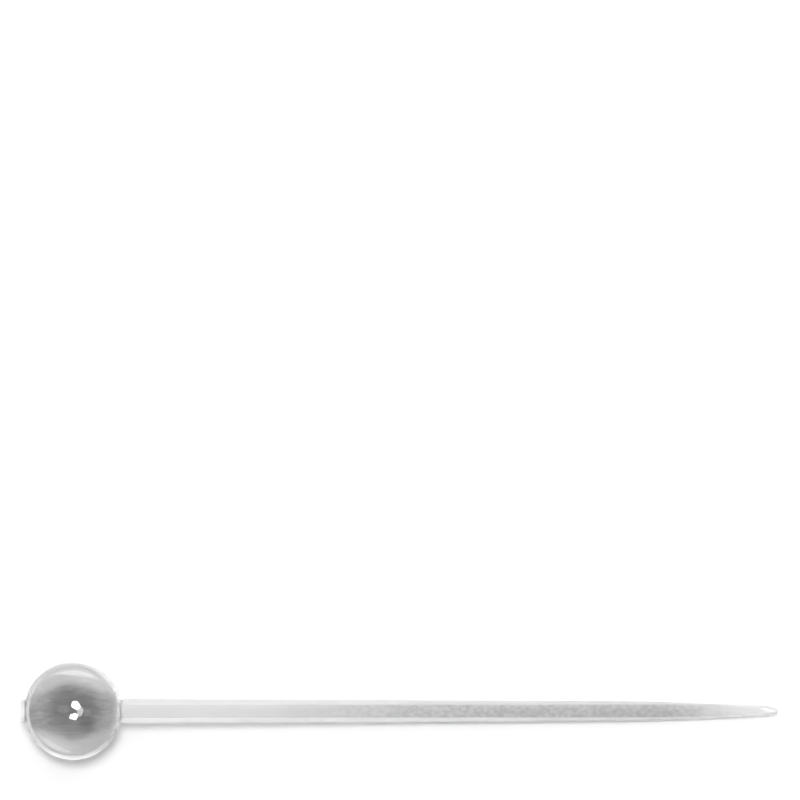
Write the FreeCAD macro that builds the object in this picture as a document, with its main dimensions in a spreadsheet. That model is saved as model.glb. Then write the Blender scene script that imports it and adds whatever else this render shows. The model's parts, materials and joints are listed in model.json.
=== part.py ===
"""Clear moulded curtain pin: a lens-shaped head on a flat-sided, tapering shank, lying at rest."""
import FreeCAD, Part
import math
import os
import Sketcher

NODE = "curtain_pin"

# Driving sizes in millimetres, and one angle in degrees
SIZES = {
    "pin_length": 50.0,        # far rim of the head to the tip
    "head_diameter": 6.5,
    "head_thickness": 3.3,
    "rim_radius": 1.15,        # rounding of the head's rim, tangent to both crowns
    "root_depth": 1.0,         # how far the shank runs into the head
    "neck_width": 1.66,        # width at the parting line, where the shank leaves the head
    "neck_thickness": 1.05,
    "shoulder_width": 1.31,    # width where the straight taper ends and the point begins
    "nose_width": 0.88,        # width at two thirds of the point
    "tip_width": 0.66,
    "tip_thickness": 0.45,
    "point_length": 9.7,       # shoulder to tip
    "side_slope": 36.0,        # lean of the shank's sides, from the parting line to the flat faces
    "neck_fillet": 0.25,
    "tip_ease": 0.08,          # by how much the tip's roundings are larger than half its section
    "gate_width": 1.45,        # stub left where the moulding was cut from its runner
    "gate_thickness": 0.9,
    "gate_proud": 0.2,
}

doc = FreeCAD.newDocument("CurtainPin")
sheet = doc.addObject("Spreadsheet::Sheet", "sizes")
for row, (alias, value) in enumerate(SIZES.items(), start=1):
    sheet.set(f"A{row}", alias)
    sheet.set(f"B{row}", str(value))
    sheet.setAlias(f"B{row}", alias)
doc.recompute()

body = doc.addObject("PartDesign::Body", "CurtainPin")
body.Label = NODE
planes = {feature.Role: feature for feature in body.Origin.OriginFeatures}

# The pin is drawn with its origin at the middle of the head and +X along the shank.
# Its stations along X are formulas of the driving sizes.
HEAD_RADIUS = "(sizes.head_diameter / 2)"
TIP_X = f"(sizes.pin_length - {HEAD_RADIUS})"
ROOT_X = f"({HEAD_RADIUS} - sizes.root_depth)"
SHOULDER_X = f"({TIP_X} - sizes.point_length)"
POINT_STEP = "(sizes.point_length / 3)"
CHEEK_X = f"({SHOULDER_X} + {POINT_STEP})"
NOSE_X = f"({TIP_X} - {POINT_STEP})"
GATE_X = f"(-{HEAD_RADIUS} - sizes.gate_proud)"

# Numbers by which a sketch knows its own axes and the ends and centre of a curve
H_AXIS, V_AXIS = range(-1, -3, -1)
START, END, CENTRE = range(1, 4)


def worked_out(formula):
    """The number that a formula of the driving sizes gives."""
    return float(sheet.evalExpression(formula))


def flat_point(x, y):
    return FreeCAD.Vector(x, y, 0)


def new_sketch(name, plane, offset=None):
    """A sketch on one of the body's own planes, moved along its normal by a formula."""
    sketch = body.newObject("Sketcher::SketchObject", name)
    sketch.AttachmentSupport = (planes[plane], "")
    sketch.MapMode = "FlatFace"
    if offset:
        sketch.setExpression("AttachmentOffset.Base.z", offset)
    return sketch


def relate(sketch, relations):
    """Geometric constraints of a sketch, in order."""
    for relation in relations:
        sketch.addConstraint(Sketcher.Constraint(*relation))


def dimension(sketch, name, formula, kind, *places):
    """A named dimension of a sketch, tied to the driving sizes."""
    index = sketch.addConstraint(Sketcher.Constraint(kind, *places, worked_out(formula)))
    sketch.renameConstraint(index, name)
    sketch.setExpression(f"Constraints.{name}", formula)


def closed_polygon(sketch, corners):
    """Straight edges through the corners, in order, joined end to end."""
    for first, last in zip(corners, corners[1:] + corners[:1]):
        sketch.addGeometry(Part.LineSegment(first, last), False)
    count = len(corners)
    relate(sketch, [("Coincident", edge, END, (edge + 1) % count, START) for edge in range(count)])


# Head: two crowns and a round rim, drawn as half a lens and spun about the upright axis.
# It is drawn across the shank, so that the spin starts and ends clear of the neck and the gate.
HALF_HEAD = "(sizes.head_thickness / 2)"
RIM_REACH = f"({HEAD_RADIUS} - sizes.rim_radius)"
CROWN_RADIUS = (
    f"(({RIM_REACH}^2 + {HALF_HEAD}^2 - sizes.rim_radius^2)"
    f" / (2 * ({HALF_HEAD} - sizes.rim_radius)))"
)
AXIS_LINE, TOP_CROWN, RIM, LOW_CROWN = range(4)


def arc(centre, radius, first_angle, last_angle):
    circle = Part.Circle(centre, FreeCAD.Vector(0, 0, 1), radius)
    return Part.ArcOfCircle(circle, first_angle, last_angle)


pole = worked_out(HALF_HEAD)
reach = worked_out(RIM_REACH)
crown = worked_out(CROWN_RADIUS)
quarter = math.pi / 2
meeting = math.atan2(crown - pole, reach)

profile = new_sketch("HeadProfile", "YZ_Plane")
profile.addGeometry(Part.LineSegment(flat_point(0, -pole), flat_point(0, pole)), False)
profile.addGeometry(arc(flat_point(0, pole - crown), crown, meeting, quarter), False)
profile.addGeometry(arc(flat_point(reach, 0), worked_out("sizes.rim_radius"), -meeting, meeting), False)
profile.addGeometry(arc(flat_point(0, crown - pole), crown, -quarter, -meeting), False)
relate(profile, [
    ("Tangent", TOP_CROWN, START, RIM, END),
    ("Tangent", LOW_CROWN, END, RIM, START),
    ("Coincident", TOP_CROWN, END, AXIS_LINE, END),
    ("Coincident", LOW_CROWN, START, AXIS_LINE, START),
    ("PointOnObject", AXIS_LINE, START, V_AXIS),
    ("Symmetric", AXIS_LINE, START, AXIS_LINE, END, H_AXIS),
    ("PointOnObject", TOP_CROWN, CENTRE, V_AXIS),
    ("PointOnObject", LOW_CROWN, CENTRE, V_AXIS),
    ("PointOnObject", RIM, CENTRE, H_AXIS),
])
dimension(profile, "thickness", "sizes.head_thickness", "DistanceY", AXIS_LINE, START, AXIS_LINE, END)
dimension(profile, "rim", "sizes.rim_radius", "Radius", RIM)
dimension(profile, "reach", RIM_REACH, "DistanceX", H_AXIS, START, RIM, CENTRE)

head = body.newObject("PartDesign::Revolution", "Head")
head.Profile = profile
head.ReferenceAxis = (profile, ["V_Axis"])
head.Angle = 360
doc.recompute()


# Shank and point: six-sided sections, widest at the parting line, lofted from inside the head to the tip
def thickness_at(station):
    """Formula of the thickness: both flat faces run straight from the neck to the tip."""
    share = f"(({station} - {HEAD_RADIUS}) / ({TIP_X} - {HEAD_RADIUS}))"
    return f"(sizes.neck_thickness + (sizes.tip_thickness - sizes.neck_thickness) * {share})"


def shank_section(name, station, width):
    """One section: flat above and below, with sides that lean in from the parting line."""
    thickness = thickness_at(station)
    flat = f"({width} - {thickness} * tan(sizes.side_slope))"
    half_width = worked_out(width) / 2
    half_flat = worked_out(flat) / 2
    half_height = worked_out(thickness) / 2
    sketch = new_sketch(name, "YZ_Plane", station)
    closed_polygon(sketch, [
        flat_point(half_width, 0),
        flat_point(half_flat, half_height),
        flat_point(-half_flat, half_height),
        flat_point(-half_width, 0),
        flat_point(-half_flat, -half_height),
        flat_point(half_flat, -half_height),
    ])
    relate(sketch, [
        ("PointOnObject", 0, START, H_AXIS),
        ("Symmetric", 0, START, 3, START, V_AXIS),
        ("Symmetric", 1, START, 2, START, V_AXIS),
        ("Symmetric", 4, START, 5, START, V_AXIS),
        ("Symmetric", 1, START, 5, START, H_AXIS),
    ])
    dimension(sketch, "width", width, "DistanceX", 3, START, 0, START)
    dimension(sketch, "flat", flat, "DistanceX", 2, START, 1, START)
    dimension(sketch, "thickness", thickness, "DistanceY", 5, START, 1, START)
    return sketch


# The point is a cubic through four evenly spaced sections.
# The second one's width makes the cubic leave the shoulder in line with the straight taper.
TAPER = f"((sizes.shoulder_width - sizes.neck_width) / ({SHOULDER_X} - {ROOT_X}))"
CHEEK_WIDTH = (
    f"(({TAPER} * {POINT_STEP} + 11 / 6 * sizes.shoulder_width"
    " + 3 / 2 * sizes.nose_width - 1 / 3 * sizes.tip_width) / 3)"
)
root = shank_section("RootSection", ROOT_X, "sizes.neck_width")
shoulder = shank_section("ShoulderSection", SHOULDER_X, "sizes.shoulder_width")
cheek = shank_section("CheekSection", CHEEK_X, CHEEK_WIDTH)
nose = shank_section("NoseSection", NOSE_X, "sizes.nose_width")
tip = shank_section("TipSection", TIP_X, "sizes.tip_width")
doc.recompute()

shank = body.newObject("PartDesign::AdditiveLoft", "Shank")
shank.Profile = root
shank.Sections = [shoulder]
shank.Ruled = True
doc.recompute()

sharp_point = body.newObject("PartDesign::AdditiveLoft", "Point")
sharp_point.Profile = shoulder
sharp_point.Sections = [cheek, nose, tip]
doc.recompute()

# Gate stub: a short flat block on the rim opposite the shank, rooted in the rim
half_gate = worked_out("sizes.gate_width") / 2
half_stub = worked_out("sizes.gate_thickness") / 2
gate_section = new_sketch("GateSection", "YZ_Plane", GATE_X)
closed_polygon(gate_section, [
    flat_point(half_gate, half_stub),
    flat_point(-half_gate, half_stub),
    flat_point(-half_gate, -half_stub),
    flat_point(half_gate, -half_stub),
])
relate(gate_section, [
    ("Symmetric", 0, START, 1, START, V_AXIS),
    ("Symmetric", 2, START, 3, START, V_AXIS),
    ("Symmetric", 0, START, 3, START, H_AXIS),
])
dimension(gate_section, "width", "sizes.gate_width", "DistanceX", 1, START, 0, START)
dimension(gate_section, "thickness", "sizes.gate_thickness", "DistanceY", 3, START, 0, START)
gate = body.newObject("PartDesign::Pad", "Gate")
gate.Profile = gate_section
gate.setExpression("Length", "sizes.gate_proud + sizes.rim_radius")
doc.recompute()

# Tip: rounded off in plan and from the side, so that it parts threads without cutting them
PLAN_ROUND = "(sizes.tip_width / 2 + sizes.tip_ease)"
SIDE_ROUND = "(sizes.tip_thickness / 2 + sizes.tip_ease)"


def tip_cut(name, plane, radius):
    """A cut through the whole point that leaves a round end of the given radius, seen square to a plane."""
    bend = worked_out(radius)
    start_x = worked_out(TIP_X) - bend
    clear_x = start_x + 2 * bend
    corners = [
        flat_point(start_x, bend),
        flat_point(start_x, 2 * bend),
        flat_point(clear_x, 2 * bend),
        flat_point(clear_x, -2 * bend),
        flat_point(start_x, -2 * bend),
        flat_point(start_x, -bend),
    ]
    sketch = new_sketch(f"{name}Outline", plane)
    for first, last in zip(corners, corners[1:]):
        sketch.addGeometry(Part.LineSegment(first, last), False)
    sketch.addGeometry(arc(flat_point(start_x, 0), bend, -quarter, quarter), False)
    upper, top, front, foot, lower, nose_arc = range(6)
    relate(sketch, [("Coincident", edge, END, edge + 1, START) for edge in range(nose_arc)])
    relate(sketch, [
        ("Coincident", nose_arc, END, upper, START),
        ("Vertical", upper),
        ("Horizontal", top),
        ("Vertical", front),
        ("Horizontal", foot),
        ("Vertical", lower),
        ("PointOnObject", nose_arc, CENTRE, H_AXIS),
        ("Vertical", nose_arc, CENTRE, nose_arc, END),
        ("Vertical", nose_arc, CENTRE, nose_arc, START),
    ])
    dimension(sketch, "round", radius, "Radius", nose_arc)
    dimension(sketch, "start", f"{TIP_X} - {radius}", "DistanceX", H_AXIS, START, nose_arc, CENTRE)
    dimension(sketch, "clear", f"2 * {radius}", "DistanceX", nose_arc, CENTRE, front, START)
    dimension(sketch, "above", f"2 * {radius}", "DistanceY", nose_arc, CENTRE, top, START)
    dimension(sketch, "below", f"2 * {radius}", "DistanceY", foot, START, nose_arc, CENTRE)
    cut = body.newObject("PartDesign::Pocket", name)
    cut.Profile = sketch
    cut.Type = "ThroughAll"
    cut.Midplane = True
    doc.recompute()
    return cut


tip_cut("TipPlan", "XY_Plane", PLAN_ROUND)
blunt_tip = tip_cut("TipSide", "XZ_Plane", SIDE_ROUND)

# Neck: a small fillet where the shank leaves the head
head_radius = worked_out(HEAD_RADIUS)
root_x = worked_out(ROOT_X)
half_neck_width = worked_out("sizes.neck_width + sizes.neck_fillet") / 2
half_neck_height = worked_out("sizes.neck_thickness + sizes.neck_fillet") / 2


def circles_neck(box):
    """Whether an edge's box lies on the head and within the shank's section."""
    on_head = box.XMin > root_x and box.XMax < head_radius
    within_width = max(-box.YMin, box.YMax) < half_neck_width
    within_height = max(-box.ZMin, box.ZMax) < half_neck_height
    return on_head and within_width and within_height


neck_edges = [
    f"Edge{number}"
    for number, edge in enumerate(blunt_tip.Shape.Edges, start=1)
    if circles_neck(edge.BoundBox)
]
neck_fillet = body.newObject("PartDesign::Fillet", "NeckFillet")
neck_fillet.Base = (blunt_tip, neck_edges)
neck_fillet.setExpression("Radius", "sizes.neck_fillet")
doc.recompute()

# Rest: the pin lies on the head's lower crown and on the lower edge of its tip.
# The tilt is the angle at which a level line touches both.
TOUCH_X = f"({TIP_X} - {SIDE_ROUND} + sqrt({SIDE_ROUND}^2 - (sizes.tip_thickness / 2)^2))"
TOUCH_DROP = f"(sizes.tip_thickness / 2 + {CROWN_RADIUS} - {HALF_HEAD})"
REST_TILT = (
    f"(asin({CROWN_RADIUS} / sqrt({TOUCH_X}^2 + {TOUCH_DROP}^2))"
    f" - atan2({TOUCH_DROP}; {TOUCH_X}))"
)
REST_HEIGHT = f"({CROWN_RADIUS} - ({CROWN_RADIUS} - {HALF_HEAD}) * cos({REST_TILT}))"
REST_SHIFT = f"(-({TIP_X} + {GATE_X}) / 2 * cos({REST_TILT}))"
body.setExpression(
    "Placement",
    f"placement(vector({REST_SHIFT}; 0; {REST_HEIGHT}); rotation(vector(0; 1; 0); {REST_TILT}))",
)
doc.recompute()

failed = [item.Name for item in doc.Objects if {"Invalid", "Error"} & set(item.State)]
if failed:
    raise RuntimeError(f"features that failed: {failed}")
if body.Shape.isNull() or not body.Shape.isValid():
    raise RuntimeError(f"{NODE} has no valid shape")

os.makedirs("parts", exist_ok=True)
body.Shape.exportStep(f"parts/{body.Label}.step")
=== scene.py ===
import json
import math

import bmesh
import bpy
from mathutils import Matrix, Vector


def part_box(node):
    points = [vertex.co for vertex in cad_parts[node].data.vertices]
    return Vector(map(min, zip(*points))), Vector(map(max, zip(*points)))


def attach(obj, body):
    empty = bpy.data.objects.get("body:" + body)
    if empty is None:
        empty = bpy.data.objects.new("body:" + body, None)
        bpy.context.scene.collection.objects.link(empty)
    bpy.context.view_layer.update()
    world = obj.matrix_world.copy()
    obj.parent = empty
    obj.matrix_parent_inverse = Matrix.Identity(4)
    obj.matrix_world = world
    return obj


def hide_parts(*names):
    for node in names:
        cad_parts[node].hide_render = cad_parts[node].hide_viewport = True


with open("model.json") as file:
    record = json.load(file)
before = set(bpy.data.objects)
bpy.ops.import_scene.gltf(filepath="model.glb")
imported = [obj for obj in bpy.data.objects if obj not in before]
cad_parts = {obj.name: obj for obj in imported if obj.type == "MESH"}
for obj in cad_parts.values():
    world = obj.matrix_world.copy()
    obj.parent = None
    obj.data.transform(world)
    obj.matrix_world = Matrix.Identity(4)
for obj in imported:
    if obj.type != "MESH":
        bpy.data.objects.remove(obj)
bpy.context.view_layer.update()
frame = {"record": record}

# The pin is one moulding in clear, colourless plastic with a glossy, faintly streaked surface.
# A lens-shaped head runs through a small fillet into a six-sided shank that tapers to a blunt point.
# The stub of the moulding gate stays on the rim opposite the shank.
MM = 0.001
low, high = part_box("curtain_pin")
HEAD_RADIUS = high.y / MM
HALF_HEAD = high.z / MM / 2
RIM_RADIUS = 1.15
RIM_REACH = HEAD_RADIUS - RIM_RADIUS
CROWN_RADIUS = (RIM_REACH**2 + HALF_HEAD**2 - RIM_RADIUS**2) / (2 * (HALF_HEAD - RIM_RADIUS))
MEETING = math.atan2(CROWN_RADIUS - HALF_HEAD, RIM_REACH)
PIN_LENGTH = 50.0
TIP_X = PIN_LENGTH - HEAD_RADIUS
POINT_LENGTH = 9.7
SHOULDER_X = TIP_X - POINT_LENGTH
NECK_WIDTH = 1.66
SHOULDER_WIDTH = 1.31
CHEEK_WIDTH = 1.156
NOSE_WIDTH = 0.88
TIP_WIDTH = 0.66
NECK_THICKNESS = 1.05
TIP_THICKNESS = 0.45
SIDE_LEAN = math.tan(math.radians(36.0))
NECK_FILLET = 0.25
ROOT_DEPTH = 1.0
GATE_WIDTH = 1.45
GATE_THICKNESS = 0.9
GATE_PROUD = 0.2
GATE_FILLET = 0.12
NEAR_ZERO = 1e-5

moulding = bmesh.new()
crease = moulding.edges.layers.float.new("crease_edge")
bmesh.ops.create_cube(moulding, size=2.0)
bmesh.ops.subdivide_edges(moulding, edges=moulding.edges[:], cuts=7, use_grid_fill=True)
for vertex in moulding.verts:
    vertex.co.normalize()
bmesh.ops.scale(moulding, vec=(HEAD_RADIUS, HEAD_RADIUS, HALF_HEAD), verts=moulding.verts[:])


def on_head(point):
    """Where a point near the head falls on its surface: on the round rim, or on a crown beside it."""
    around = max(math.hypot(point.x, point.y), 1e-9)
    height = abs(point.z)
    if around > RIM_REACH and math.atan2(height, around - RIM_REACH) < MEETING:
        foot = Vector((RIM_REACH, 0.0))
        spot = foot + (Vector((around, height)) - foot).normalized() * RIM_RADIUS
    else:
        foot = Vector((0.0, HALF_HEAD - CROWN_RADIUS))
        spot = foot + (Vector((around, height)) - foot).normalized() * CROWN_RADIUS
    return Vector((point.x * spot.x / around, point.y * spot.x / around, math.copysign(spot.y, point.z)))


for vertex in moulding.verts:
    vertex.co = on_head(vertex.co)
# The cage stands a little outside the head, because rounding draws it in.
CAGE_SPREAD = 1.018
CAGE_LIFT = 1.013
bmesh.ops.scale(moulding, vec=(CAGE_SPREAD, CAGE_SPREAD, CAGE_LIFT), verts=moulding.verts[:])


def side_of(value):
    """-1, 0 or 1: which side of the middle a coordinate lies on."""
    return (value > NEAR_ZERO) - (value < -NEAR_ZERO)


def rim_x(y, z):
    """How far out along X the head's round rim lies at a distance and a height from the middle."""
    around = RIM_REACH + math.sqrt(RIM_RADIUS**2 - z**2)
    return math.sqrt(around**2 - y**2)


def set_section(corners, width, flat, thickness):
    """Moves nine corners to a six-sided section, square to X."""
    for corner in corners:
        level = side_of(corner.co.z)
        corner.co.y = side_of(corner.co.y) * (flat if level else width) / 2
        corner.co.z = level * thickness / 2


def grow(direction, collar, sections):
    """Draws a patch of the head out along X: first a collar on the rim, then the sections in order."""
    patch = sorted(moulding.faces, key=lambda face: direction * face.calc_center_median().x)[-4:]
    corners = {corner for face in patch for corner in face.verts}
    set_section(corners, *collar)
    for corner in corners:
        corner.co.x = direction * rim_x(corner.co.y, corner.co.z)
    for x, *section in sections:
        grown = bmesh.ops.extrude_face_region(moulding, geom=patch)["geom"]
        bmesh.ops.delete(moulding, geom=patch, context="FACES")
        patch = [item for item in grown if isinstance(item, bmesh.types.BMFace)]
        corners = [item for item in grown if isinstance(item, bmesh.types.BMVert)]
        set_section(corners, *section)
        for corner in corners:
            corner.co.x = direction * x


def shank_section(x, width, scale=1.0):
    """A section of the shank at x: its flat faces run straight from neck to tip."""
    share = (x - HEAD_RADIUS) / (TIP_X - HEAD_RADIUS)
    thickness = NECK_THICKNESS + (TIP_THICKNESS - NECK_THICKNESS) * share
    flat = width - thickness * SIDE_LEAN
    return x, width * scale, flat * scale, thickness * scale


def taper_width(x):
    """The shank's width at x, from its root inside the head to the shoulder of the point."""
    root_x = HEAD_RADIUS - ROOT_DEPTH
    return NECK_WIDTH + (SHOULDER_WIDTH - NECK_WIDTH) * (x - root_x) / (SHOULDER_X - root_x)


neck_flat = NECK_WIDTH - NECK_THICKNESS * SIDE_LEAN
POINT_STEP = POINT_LENGTH / 3
beside_head = [HEAD_RADIUS + 0.05, HEAD_RADIUS + 0.16, HEAD_RADIUS + 0.4, HEAD_RADIUS + 3.0]
straight = beside_head + [SHOULDER_X / 2, SHOULDER_X - POINT_STEP, SHOULDER_X]
grow(
    1,
    (NECK_WIDTH + NECK_FILLET, neck_flat + NECK_FILLET, NECK_THICKNESS + 0.7 * NECK_FILLET),
    [shank_section(x, taper_width(x)) for x in straight]
    + [
        shank_section(SHOULDER_X + POINT_STEP, CHEEK_WIDTH),
        shank_section(TIP_X - POINT_STEP, NOSE_WIDTH),
        shank_section(TIP_X - 1.2, 0.725),
        shank_section(TIP_X - 0.4, 0.68),
        shank_section(TIP_X - 0.06, 0.665, 0.85),
        shank_section(TIP_X + 0.02, TIP_WIDTH, 0.45),
    ],
)
grow(
    -1,
    (GATE_WIDTH + GATE_FILLET, GATE_WIDTH + GATE_FILLET, GATE_THICKNESS + GATE_FILLET),
    [
        (HEAD_RADIUS + 0.03, GATE_WIDTH, GATE_WIDTH, GATE_THICKNESS),
        (HEAD_RADIUS + GATE_PROUD - 0.01, GATE_WIDTH, GATE_WIDTH, GATE_THICKNESS),
        (HEAD_RADIUS + GATE_PROUD, 0.9 * GATE_WIDTH, 0.9 * GATE_WIDTH, 0.85 * GATE_THICKNESS),
    ],
)

# The long edges of the shank stay sharp.
for edge in moulding.edges:
    first, last = (end.co for end in edge.verts)
    lengthwise = abs(first.x - last.x) > 3 * abs(first.y - last.y)
    if lengthwise and HEAD_RADIUS < min(first.x, last.x) and max(first.x, last.x) < TIP_X - 0.3:
        if min(abs(first.y), abs(last.y)) > NEAR_ZERO:
            edge[crease] = 1.0

bmesh.ops.recalc_face_normals(moulding, faces=moulding.faces[:])
for face in moulding.faces:
    face.smooth = True
pin_mesh = bpy.data.meshes.new("pin")
moulding.to_mesh(pin_mesh)
moulding.free()
pin = bpy.data.objects.new("pin", pin_mesh)
bpy.context.scene.collection.objects.link(pin)
ROUNDING_LEVELS = 3
rounding = pin.modifiers.new("rounding", "SUBSURF")
rounding.levels = ROUNDING_LEVELS
rounding.render_levels = ROUNDING_LEVELS
rounded = pin.evaluated_get(bpy.context.evaluated_depsgraph_get())
pin_mesh = bpy.data.meshes.new_from_object(rounded)
pin.modifiers.clear()
pin.data = pin_mesh

moulding = bmesh.new()
moulding.from_mesh(pin_mesh)
# Away from the neck and the gate, the rounded head is set exactly on its crowns and rim.
NECK_ZONE_WIDTH = 2.0
NECK_ZONE_HEIGHT = 1.3
NECK_BLEND = 0.6
for vertex in moulding.verts:
    across = abs(vertex.co.y) / (NECK_ZONE_WIDTH / 2)
    upward = abs(vertex.co.z) / (NECK_ZONE_HEIGHT / 2)
    share = min(max((max(across, upward) - 1.0) / NECK_BLEND, 0.0), 1.0)
    vertex.co = vertex.co.lerp(on_head(vertex.co), share * share * (3 - 2 * share))
rest_axis = Vector(frame["record"]["mounts"][0]["axis"])
rest_tilt = math.atan2(-rest_axis.z, rest_axis.x)
head_centre = Vector((low.x + (HEAD_RADIUS + GATE_PROUD) * MM * math.cos(rest_tilt), 0.0, high.z / 2))
at_rest = Matrix.Translation(head_centre) @ Matrix.Rotation(rest_tilt, 4, "Y") @ Matrix.Scale(MM, 4)
bmesh.ops.transform(moulding, matrix=at_rest, verts=moulding.verts[:])
moulding.to_mesh(pin_mesh)
moulding.free()
pin_mesh.set_sharp_from_angle(angle=math.radians(30))
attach(pin, "root")
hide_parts("curtain_pin")

plastic = bpy.data.materials.new("clear_plastic")
plastic.use_nodes = True
nodes, links = plastic.node_tree.nodes, plastic.node_tree.links
shader = nodes["Principled BSDF"]
shader.inputs["IOR"].default_value = 1.5
depth = nodes.new("ShaderNodeVolumeAbsorption")
depth.inputs["Color"].default_value = (0.5, 0.5, 0.5, 1.0)
depth.inputs["Density"].default_value = 30.0
links.new(depth.outputs["Volume"], nodes["Material Output"].inputs["Volume"])
where = nodes.new("ShaderNodeTexCoord")
axes = nodes.new("ShaderNodeSeparateXYZ")
links.new(where.outputs["Object"], axes.inputs[0])


def ramp(source, start, end, low_value, high_value):
    """A smooth change of a value between two places."""
    step = nodes.new("ShaderNodeMapRange")
    step.interpolation_type = "SMOOTHSTEP"
    step.inputs["From Min"].default_value = start
    step.inputs["From Max"].default_value = end
    step.inputs["To Min"].default_value = low_value
    step.inputs["To Max"].default_value = high_value
    links.new(source, step.inputs["Value"])
    return step.outputs["Result"]


def times(first, second):
    product = nodes.new("ShaderNodeMath")
    product.operation = "MULTIPLY"
    links.new(first, product.inputs[0])
    links.new(second, product.inputs[1])
    return product.outputs[0]


def plus(first, second):
    total = nodes.new("ShaderNodeMath")
    links.new(first, total.inputs[0])
    links.new(second, total.inputs[1])
    return total.outputs[0]


def streaks(along, across, scale):
    """Mottling of the plastic, drawn out along the pin where along is smaller than across."""
    stretch = nodes.new("ShaderNodeMapping")
    stretch.inputs["Scale"].default_value = (along, across, across)
    mottle = nodes.new("ShaderNodeTexNoise")
    mottle.inputs["Scale"].default_value = scale
    mottle.inputs["Detail"].default_value = 3.0
    links.new(where.outputs["Object"], stretch.inputs["Vector"])
    links.new(stretch.outputs["Vector"], mottle.inputs["Vector"])
    return mottle.outputs["Fac"]


NEAR_GATE = -25.0 * MM
NEAR_TIP = 24.0 * MM
LOBE_CLEARNESS = 0.77
FLAT_HAZE = 0.31
SIDE_HAZE = 0.43
CUT_ROUGHNESS = 0.5
GLOSS_ROUGHNESS = 0.04
from_middle = nodes.new("ShaderNodeMath")
from_middle.operation = "ABSOLUTE"
links.new(axes.outputs["Y"], from_middle.inputs[0])
# A mottled grey lies along the flats, on the outer part of the shank: a random tone, and a painted shade
# that darkens the flats where the shank's shadow shows through them.
on_flat = ramp(from_middle.outputs[0], 0.36 * MM, 0.46 * MM, 1.0, 0.0)
flat_shade_start = ramp(axes.outputs["X"], -12 * MM, 6 * MM, 0.0, 1.0)
flat_shade_end = ramp(axes.outputs["X"], 17 * MM, NEAR_TIP, 1.0, 0.0)
mottled = ramp(streaks(0.7, 1.0, 4000.0), 0.35, 0.65, 0.3, 0.72)
flat_mottle_and_shade = times(times(flat_shade_start, flat_shade_end), times(on_flat, mottled))
# The grey of this mix is painted shade along the flats and in the head's core, as well as the plastic's
# own mottling and streaks.
tint_and_painted_shade = nodes.new("ShaderNodeMix")
tint_and_painted_shade.data_type = "RGBA"
tint_and_painted_shade.inputs["A"].default_value = (0.97, 0.97, 0.97, 1.0)
tint_and_painted_shade.inputs["B"].default_value = (0.54, 0.54, 0.54, 1.0)
# The head has streaks along the flow of the plastic, a painted shade in its core where the shade beneath
# the head shows through, and two lobes beside it where the streaks fade as painted light.
in_head = ramp(axes.outputs["X"], -19.5 * MM, -18.0 * MM, 1.0, 0.0)
fine_marks = ramp(streaks(0.2, 1.0, 4500.0), 0.4, 0.65, 0.0, 0.4)
broad_marks = ramp(streaks(0.6, 1.0, 700.0), 0.45, 0.65, 0.0, 0.4)
level = nodes.new("ShaderNodeVectorMath")
level.operation = "MULTIPLY"
level.inputs[1].default_value = (1.0, 1.0, 0.0)
links.new(where.outputs["Object"], level.inputs[0])
from_crown = nodes.new("ShaderNodeVectorMath")
from_crown.operation = "DISTANCE"
from_crown.inputs[1].default_value = (head_centre.x, 0.0, 0.0)
links.new(level.outputs["Vector"], from_crown.inputs[0])
# Painted shade: the middle of the head is darkened, as the shade beneath the head shows there.
core_painted_shade = ramp(from_crown.outputs["Value"], 1.0 * MM, 2.0 * MM, 0.5, 0.0)
near_rim = ramp(from_crown.outputs["Value"], 1.4 * MM, 2.3 * MM, 0.0, 1.0)
beside_flow = ramp(from_middle.outputs[0], 0.5 * MM, 1.8 * MM, 0.0, 1.0)
# Painted light: the streaks fade to less than half in two lobes beside the flow, so these zones look
# paler, like the lit parts of the head.
lobes_painted_light = times(near_rim, beside_flow)
marks_with_lobe_light = times(ramp(lobes_painted_light, 0.0, 1.0, 1.0, 0.4), plus(fine_marks, broad_marks))
head_marks_and_shade = times(in_head, plus(core_painted_shade, marks_with_lobe_light))
links.new(plus(flat_mottle_and_shade, head_marks_and_shade), tint_and_painted_shade.inputs["Factor"])
links.new(tint_and_painted_shade.outputs["Result"], shader.inputs["Base Color"])
# The lobes are a little hazy, the shank and its point more so, and the cut gate most of all.
clear_gate = ramp(axes.outputs["X"], NEAR_GATE, NEAR_GATE + 0.3 * MM, 0.2, 1.0)
clear_lobes = ramp(lobes_painted_light, 0.0, 1.0, 1.0, LOBE_CLEARNESS)
on_shank = ramp(in_head, 0.0, 1.0, 1.0, 0.0)
across_shank = ramp(from_middle.outputs[0], 0.42 * MM, 0.47 * MM, FLAT_HAZE, SIDE_HAZE)
clear_shank = nodes.new("ShaderNodeMath")
clear_shank.operation = "SUBTRACT"
clear_shank.inputs[0].default_value = 1.0
links.new(times(on_shank, across_shank), clear_shank.inputs[1])
clear_tip = ramp(axes.outputs["X"], 16 * MM, NEAR_TIP, 1.0, 0.7)
clearness = times(times(clear_gate, clear_lobes), times(clear_shank.outputs[0], clear_tip))
links.new(clearness, shader.inputs["Transmission Weight"])
roughness = ramp(axes.outputs["X"], NEAR_GATE, NEAR_GATE + 0.2 * MM, CUT_ROUGHNESS, GLOSS_ROUGHNESS)
links.new(roughness, shader.inputs["Roughness"])
flow = nodes.new("ShaderNodeBump")
flow.inputs["Strength"].default_value = 0.25
flow.inputs["Distance"].default_value = 0.02 * MM
links.new(times(in_head, streaks(0.12, 1.0, 2200.0)), flow.inputs["Height"])
links.new(flow.outputs["Normal"], shader.inputs["Normal"])
pin_mesh.materials.append(plastic)

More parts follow.
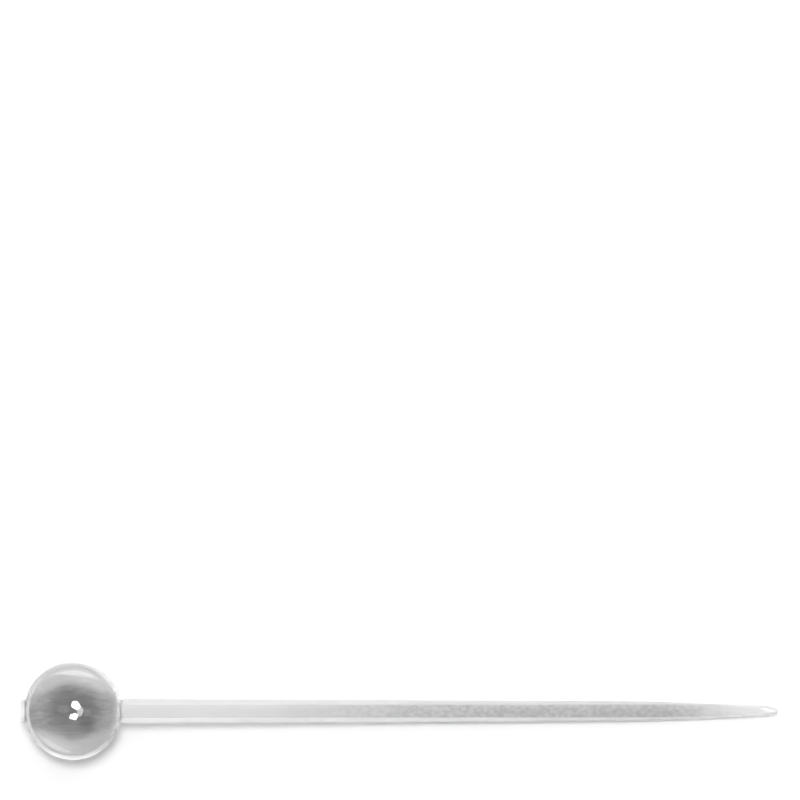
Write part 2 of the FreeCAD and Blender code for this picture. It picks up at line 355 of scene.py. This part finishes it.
# The floor is a plain, matt white sheet that shows the pin's soft shadow.
# It lies just below the pin and reaches far past the picture.
FLOOR_GAP = 0.02 * MM
floor_mesh = bpy.data.meshes.new("floor")
sheet = bmesh.new()
bmesh.ops.create_grid(sheet, x_segments=1, y_segments=1, size=1.5)
bmesh.ops.translate(sheet, vec=(0.0, 0.0, -FLOOR_GAP), verts=sheet.verts[:])
sheet.to_mesh(floor_mesh)
sheet.free()
floor = bpy.data.objects.new("floor", floor_mesh)
bpy.context.scene.collection.objects.link(floor)

paper = bpy.data.materials.new("paper")
paper.use_nodes = True
nodes, links = paper.node_tree.nodes, paper.node_tree.links
nodes.clear()
output = nodes.new("ShaderNodeOutputMaterial")
matt = nodes.new("ShaderNodeBsdfDiffuse")
matt.inputs["Color"].default_value = (0.98, 0.98, 0.98, 1.0)
links.new(matt.outputs[0], output.inputs["Surface"])
floor_mesh.materials.append(paper)

# Studio light: lamps that light floor and pin but aren't mirrored, and lamps seen only as highlights.
# The front lamp casts no shadow, in place of the light that clear plastic lets through.
# What the plastic bends into view is the surround: a dim room with paler patches on its walls.
def soft_box(name, place, width, depth, radiance):
    """A rectangular lamp that faces the pin, as bright as a white sheet times its radiance."""
    lamp = bpy.data.lights.new(name, "AREA")
    lamp.shape = "RECTANGLE"
    lamp.size = width
    lamp.size_y = depth
    lamp.energy = radiance * math.pi * width * depth
    box = bpy.data.objects.new(name, lamp)
    box.location = place
    box.rotation_euler = (-Vector(place)).to_track_quat("-Z", "Y").to_euler()
    box.visible_camera = False
    box.visible_transmission = False
    bpy.context.scene.collection.objects.link(box)
    return box


def floor_lamp(name, place, width, depth, radiance):
    """A lamp that lights the floor and the pin and isn't mirrored in the plastic."""
    lamp = soft_box(name, place, width, depth, radiance)
    lamp.visible_glossy = False
    return lamp


def highlight(name, place, width, depth, radiance):
    """A lamp that shows only as a bright spot on the plastic."""
    lamp = soft_box(name, place, width, depth, radiance)
    lamp.data.shape = "ELLIPSE"
    lamp.visible_diffuse = False


floor_lamp("key", (-0.06, 0.15, 0.6), 0.2, 0.2, 16.5)
floor_lamp("back", (0.05, 0.42, 0.25), 0.85, 0.44, 1.5)
front = floor_lamp("front", (-0.05, -0.42, 0.25), 0.85, 0.44, 1.9)
front.data.use_shadow = False
front.data.cycles.use_multiple_importance_sampling = False
floor_lamp("left", (-0.46, 0.0, 0.22), 0.4, 0.4, 0.75)
floor_lamp("right", (0.46, 0.0, 0.22), 0.4, 0.4, 0.75)
highlight("back_gleam", (0.05, 0.45, 0.3), 0.6, 0.18, 4.0)
highlight("front_gleam", (-0.25, -0.42, 0.25), 0.5, 0.25, 3.0)
highlight("spark_back", (0.28, 0.38, 3.0), 0.65, 0.5, 30.0)
highlight("spark_front", (0.13, -0.38, 3.0), 0.55, 0.5, 28.0)
highlight("spark_right", (0.58, 0.0, 3.0), 0.75, 0.44, 9.0)
highlight("glow_left", (-0.6, 0.1, 3.0), 0.6, 0.8, 2.0)
highlight("glow_right", (1.1, -0.1, 3.0), 0.4, 0.6, 2.5)

world = bpy.data.worlds.new("surround")
world.use_nodes = True
nodes, links = world.node_tree.nodes, world.node_tree.links
where = nodes.new("ShaderNodeTexCoord")
axes = nodes.new("ShaderNodeSeparateXYZ")
links.new(where.outputs["Generated"], axes.inputs[0])


def pale_wall(direction, breadth, beside, facing):
    """The light from one side of the room, fading out over a breadth around its middle."""
    turned = nodes.new("ShaderNodeVectorMath")
    turned.operation = "DOT_PRODUCT"
    turned.inputs[1].default_value = Vector(direction).normalized()
    links.new(where.outputs["Generated"], turned.inputs[0])
    return ramp(turned.outputs["Value"], math.cos(math.radians(breadth)), 0.95, beside, facing)


low_walls = plus(pale_wall((1, 0, 0), 55, 0.7, 0.95), pale_wall((-1, 1, 0), 50, 0.0, -0.35))
ceiling = ramp(axes.outputs["Z"], 0.2, 0.5, 1.0, 0.07)
walls = times(low_walls, ceiling)
walls = plus(walls, pale_wall((0, 1, 0.25), 55, 0.0, 1.1))
walls = plus(walls, pale_wall((0, -1, 1.1), 40, 0.0, 0.95))
walls = plus(walls, pale_wall((-1, -1, 1.0), 40, 0.0, 0.85))
walls = plus(walls, pale_wall((-1, 0, 0.8), 30, 0.0, 0.6))
walls = plus(walls, pale_wall((1, 0, 0.8), 30, 0.0, 0.6))
links.new(walls, nodes["Background"].inputs["Color"])
bpy.context.scene.world = world
world.cycles_visibility.diffuse = False

# Camera: straight down from far above through a long lens, with the pin low in a square picture.
# The scale and the head's distance from the middle of the picture are in the picture's pixels.
PICTURE_PIXELS = 800
PIXELS_PER_MM = 15.08
HEAD_LEFT_OF_MIDDLE = 327
HEAD_BELOW_MIDDLE = 311.2
CAMERA_HEIGHT = 1.2
lens = bpy.data.cameras.new("camera")
lens.lens = lens.sensor_width * CAMERA_HEIGHT / (PICTURE_PIXELS / PIXELS_PER_MM * MM)
camera = bpy.data.objects.new("camera", lens)
camera.location = (
    head_centre.x + HEAD_LEFT_OF_MIDDLE / PIXELS_PER_MM * MM,
    HEAD_BELOW_MIDDLE / PIXELS_PER_MM * MM,
    head_centre.z + CAMERA_HEIGHT,
)
bpy.context.scene.collection.objects.link(camera)
bpy.context.scene.camera = camera
bpy.context.scene.view_settings.view_transform = "Standard"
bpy.context.scene.cycles.max_bounces = 24
bpy.context.scene.cycles.caustics_refractive = False
bpy.context.scene.cycles.glossy_bounces = 16
bpy.context.scene.cycles.transmission_bounces = 24
